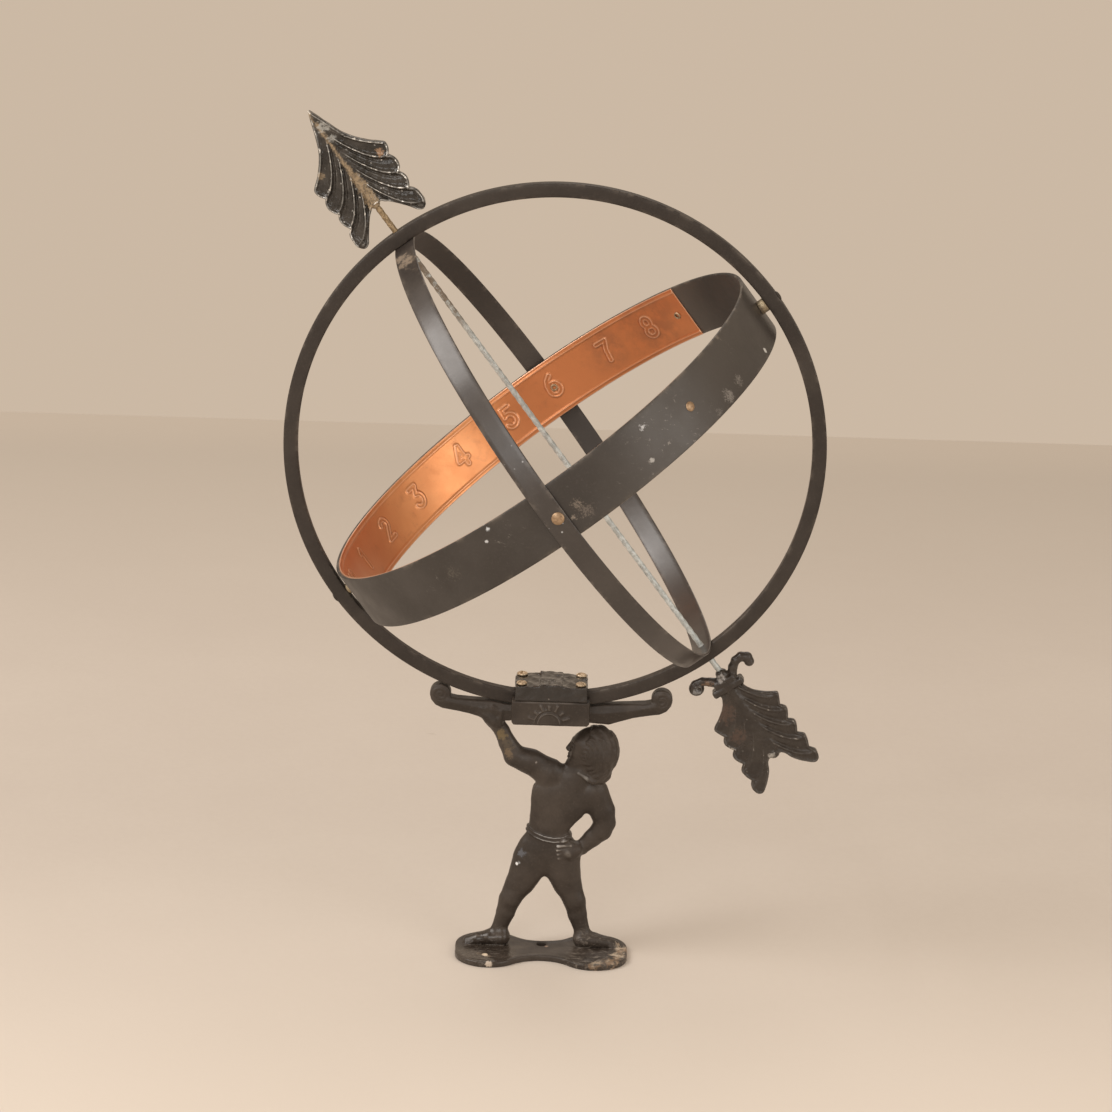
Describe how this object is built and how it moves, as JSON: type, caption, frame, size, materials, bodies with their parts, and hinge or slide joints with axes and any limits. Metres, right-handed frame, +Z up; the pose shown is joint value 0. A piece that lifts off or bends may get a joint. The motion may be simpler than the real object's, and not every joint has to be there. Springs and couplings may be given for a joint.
{
  "type": "armillary sphere",
  "caption": "Garden armillary sundial: iron rings, copper hour strip and an arrow gnomon, clamped in a yoke that a cast Atlas figure holds up.",
  "frame": {"origin": "on the ground at the screw hole between the feet, straight under the sphere's centre", "axes": "+X along the meridian ring's plane towards the arrow's tail, +Y through the ring towards the evening hours, +Z up"},
  "size_m": [0.3434, 0.3194, 0.5458],
  "materials": {
    "cast_paint": "satin brown-black paint",
    "cap_paint": "glossy rough black paint",
    "screw_brass": "weathered",
    "ring_paint": "matt brown-black paint",
    "strip_paint": "satin brown-black paint",
    "band_paint": "satin grey-brown paint, scuffed",
    "copper": "satin copper sheet",
    "dull_brass": "dull",
    "painted_rivet": "painted over, worn",
    "rivet_brass": "weathered",
    "rod_zinc": "zinc coated, streaked",
    "head_paint": "glossy black paint, silvery wear",
    "tail_paint": "satin black-brown paint, silvery wear"
  },
  "bodies": {
    "stand": {"atlas_pedestal": "cast_paint", "clamp_cap": "cap_paint", "cap_screw_front_left": "screw_brass", "cap_screw_front_right": "screw_brass", "cap_screw_back_left": "screw_brass", "cap_screw_back_right": "screw_brass"},
    "sphere": {"meridian_ring": "ring_paint", "colure_ring": "strip_paint", "equator_band": "band_paint", "hour_strip": "copper", "noon_spacer": "dull_brass", "midnight_spacer": "dull_brass", "noon_rivet": "painted_rivet", "midnight_rivet": "painted_rivet", "morning_rivet": "rivet_brass", "evening_rivet": "rivet_brass", "strip_rivet_morning": "rivet_brass", "strip_rivet_evening": "rivet_brass"},
    "arrow": {"gnomon_rod": "rod_zinc", "arrow_head": "head_paint", "arrow_tail": "tail_paint"}
  },
  "joints": [
    {"name": "latitude_tilt", "type": "hinge", "parent": "stand", "child": "sphere", "pos_m": [0, 0, 0.336], "axis": [0, 1, 0], "range_deg": [-22, 2.5]},
    {"name": "arrow_turn", "type": "hinge", "parent": "sphere", "child": "arrow", "pos_m": [0, 0, 0.336], "axis": [-0.6018, 0, 0.7986], "continuous": true}
  ]
}
